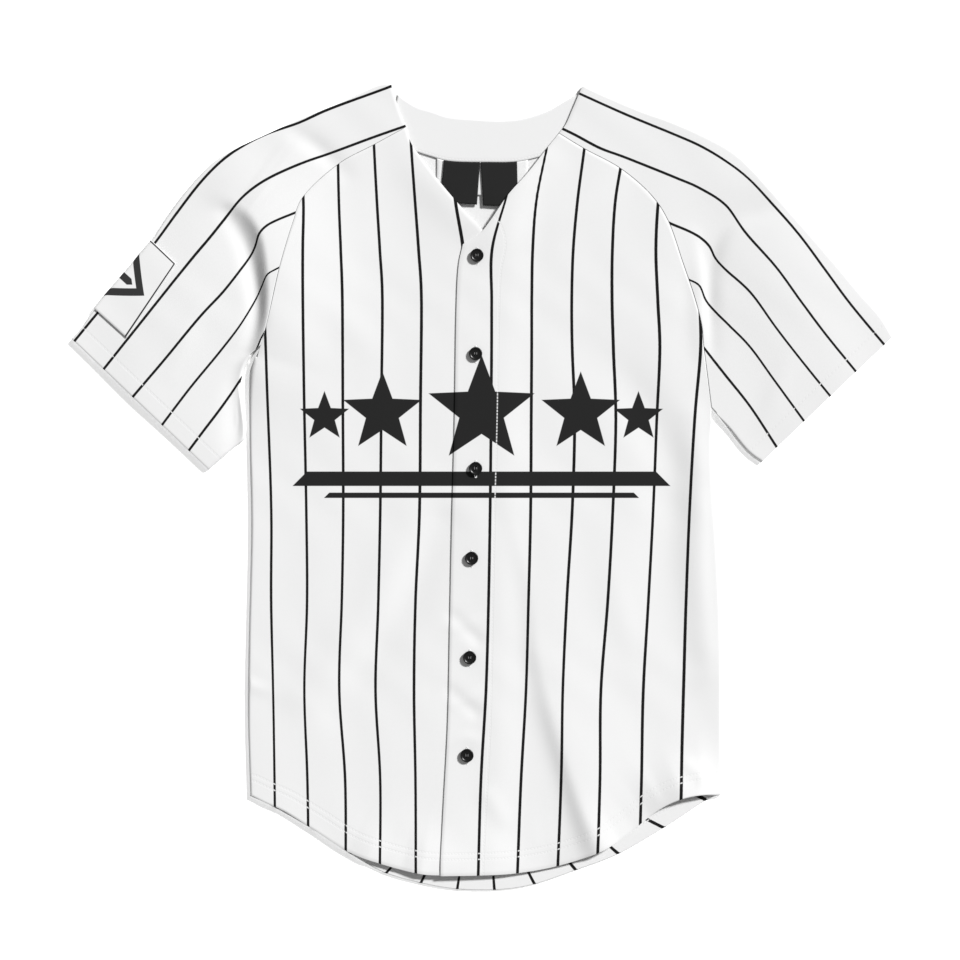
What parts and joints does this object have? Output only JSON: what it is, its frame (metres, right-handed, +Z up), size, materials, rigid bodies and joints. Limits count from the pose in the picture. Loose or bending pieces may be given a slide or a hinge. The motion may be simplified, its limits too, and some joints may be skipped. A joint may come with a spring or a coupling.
{
  "type": "baseball jersey",
  "caption": "Short-sleeved raglan baseball jersey with a buttoned front and curved hems, laid flat with the front up.",
  "frame": {"origin": "on the surface it lies on, under the middle of its outline", "axes": "+Z up out of the front of the jersey, +Y from the hem to the neck, +X toward the wearer's left sleeve"},
  "size_m": [0.796, 0.782, 0.0114],
  "materials": {
    "white_cloth": "white woven cotton blend with thin black pinstripes on its face",
    "inside_cloth": "plain white cotton band",
    "label_satin": "black woven satin",
    "tag_tape": "white woven tape",
    "button_resin": "black polished resin"
  },
  "bodies": {
    "root": {"back": "white_cloth", "front_left": "white_cloth", "front_right": "white_cloth", "sleeve_left": "white_cloth", "sleeve_right": "white_cloth", "sleeve_patch": "tag_tape", "neck_facing": "inside_cloth", "size_tag": "tag_tape", "neck_tab_left": "label_satin", "neck_tab_right": "label_satin", "button_1": "button_resin", "button_2": "button_resin", "button_3": "button_resin", "button_4": "button_resin", "button_5": "button_resin", "button_6": "button_resin"}
  },
  "joints": []
}
